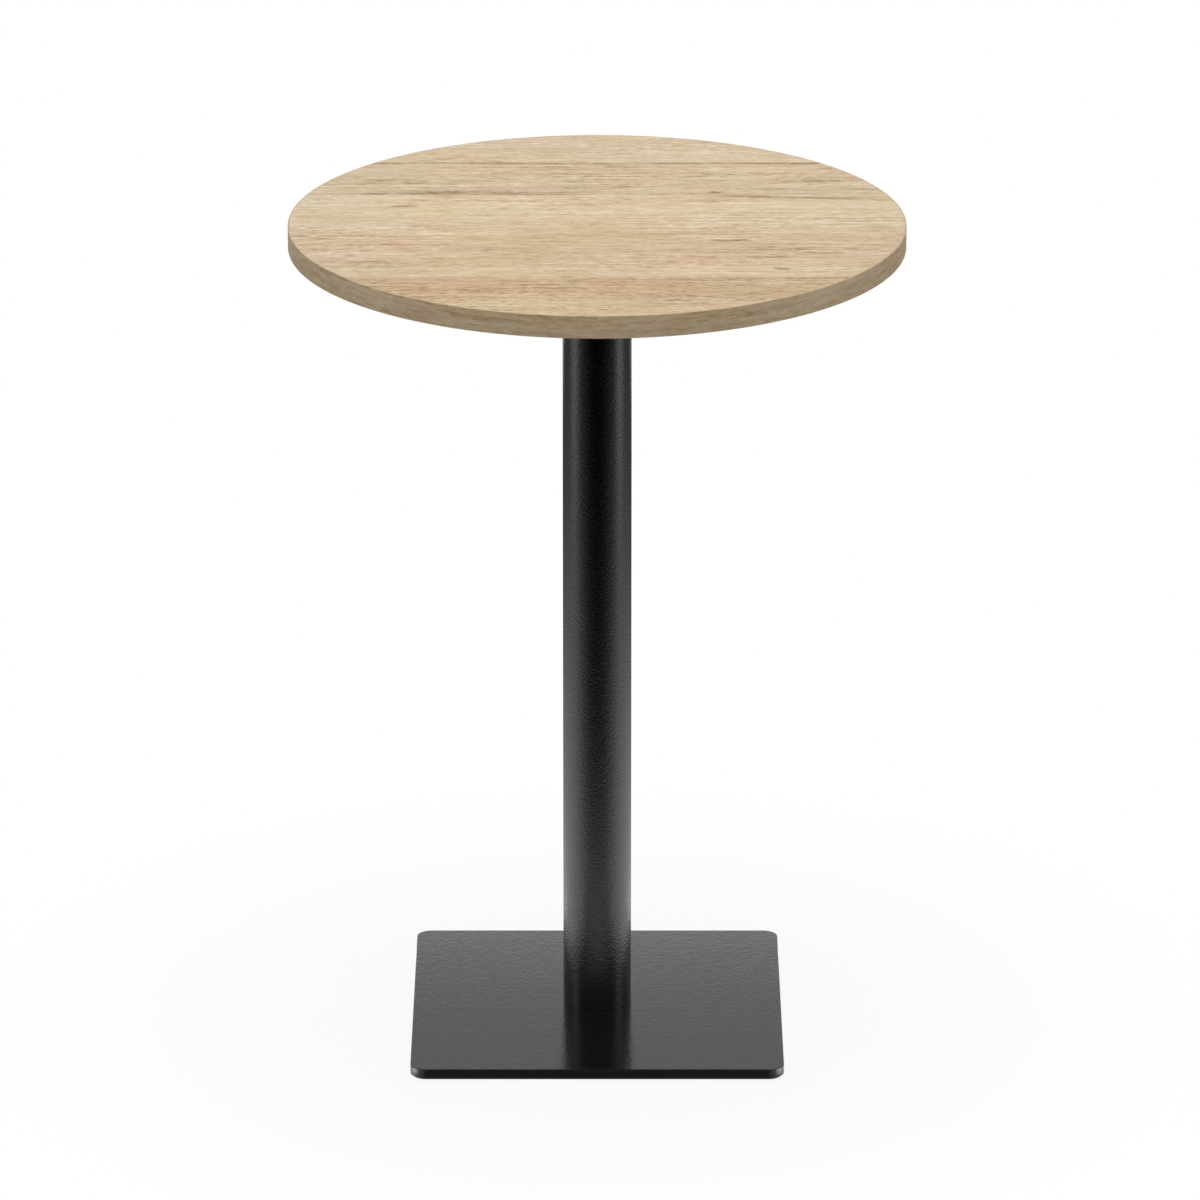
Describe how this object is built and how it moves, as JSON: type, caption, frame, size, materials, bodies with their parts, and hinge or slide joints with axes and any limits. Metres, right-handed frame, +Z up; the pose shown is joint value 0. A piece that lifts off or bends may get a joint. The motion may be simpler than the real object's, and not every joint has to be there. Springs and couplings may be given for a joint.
{
  "type": "bar table",
  "caption": "Bar-height pedestal table: round oak-decor top on a black round column and a flat square base plate, standing on levelling feet that screw in and out.",
  "frame": {"origin": "on the floor under the column's axis, at the centre of the part's footprint", "axes": "+Z up along the column, -Y towards the front in the picture, +X to the right"},
  "size_m": [0.8, 0.8, 1.1],
  "materials": {
    "oak_decor": "matt oak-decor laminate",
    "oak_edge": "matt oak-decor edge strip",
    "chipboard": "raw pressed board",
    "black_powder_coat": "fine-textured semi-matt powder coat",
    "black_casting": "black painted casting",
    "zinc_steel": "bright zinc plating",
    "black_plastic": "moulded plastic"
  },
  "bodies": {
    "table": {"table_top_core": "chipboard", "table_top_backing": "oak_decor", "table_top_laminate": "oak_decor", "table_top_edge_band": "oak_edge", "top_spider": "black_casting", "top_screws": "zinc_steel", "column_tube": "black_powder_coat", "tie_rod": "zinc_steel", "base_spigot": "zinc_steel", "base_plate": "black_powder_coat", "rod_top_washer": "zinc_steel", "rod_top_nut": "zinc_steel", "rod_lock_washer": "zinc_steel", "rod_lock_nut": "zinc_steel", "rod_base_washer": "zinc_steel", "rod_base_nut": "zinc_steel"},
    "pad_front_left": {"foot_pad_front_left": "black_plastic"},
    "stud_front_left": {"foot_stud_front_left": "zinc_steel"},
    "pad_front_right": {"foot_pad_front_right": "black_plastic"},
    "stud_front_right": {"foot_stud_front_right": "zinc_steel"},
    "pad_rear_left": {"foot_pad_rear_left": "black_plastic"},
    "stud_rear_left": {"foot_stud_rear_left": "zinc_steel"},
    "pad_rear_right": {"foot_pad_rear_right": "black_plastic"},
    "stud_rear_right": {"foot_stud_rear_right": "zinc_steel"}
  },
  "joints": [
    {"name": "pad_front_left_travel", "type": "slide", "parent": "table", "child": "pad_front_left", "axis": [0, 0, -1], "range_m": [0, 0.0045]},
    {"name": "stud_front_left_turn", "type": "hinge", "parent": "pad_front_left", "child": "stud_front_left", "pos_m": [-0.197, -0.197, 0.004], "axis": [0, 0, -1], "range_deg": [0, 1080]},
    {"name": "pad_front_right_travel", "type": "slide", "parent": "table", "child": "pad_front_right", "axis": [0, 0, -1], "range_m": [0, 0.0045]},
    {"name": "stud_front_right_turn", "type": "hinge", "parent": "pad_front_right", "child": "stud_front_right", "pos_m": [0.197, -0.197, 0.004], "axis": [0, 0, -1], "range_deg": [0, 1080]},
    {"name": "pad_rear_left_travel", "type": "slide", "parent": "table", "child": "pad_rear_left", "axis": [0, 0, -1], "range_m": [0, 0.0045]},
    {"name": "stud_rear_left_turn", "type": "hinge", "parent": "pad_rear_left", "child": "stud_rear_left", "pos_m": [-0.197, 0.197, 0.004], "axis": [0, 0, -1], "range_deg": [0, 1080]},
    {"name": "pad_rear_right_travel", "type": "slide", "parent": "table", "child": "pad_rear_right", "axis": [0, 0, -1], "range_m": [0, 0.0045]},
    {"name": "stud_rear_right_turn", "type": "hinge", "parent": "pad_rear_right", "child": "stud_rear_right", "pos_m": [0.197, 0.197, 0.004], "axis": [0, 0, -1], "range_deg": [0, 1080]}
  ],
  "couplings": [
    {"joint": "pad_front_left_travel", "follows": "stud_front_left_turn", "m_per_rad": 0.00023873},
    {"joint": "pad_front_right_travel", "follows": "stud_front_right_turn", "m_per_rad": 0.00023873},
    {"joint": "pad_rear_left_travel", "follows": "stud_rear_left_turn", "m_per_rad": 0.00023873},
    {"joint": "pad_rear_right_travel", "follows": "stud_rear_right_turn", "m_per_rad": 0.00023873}
  ]
}
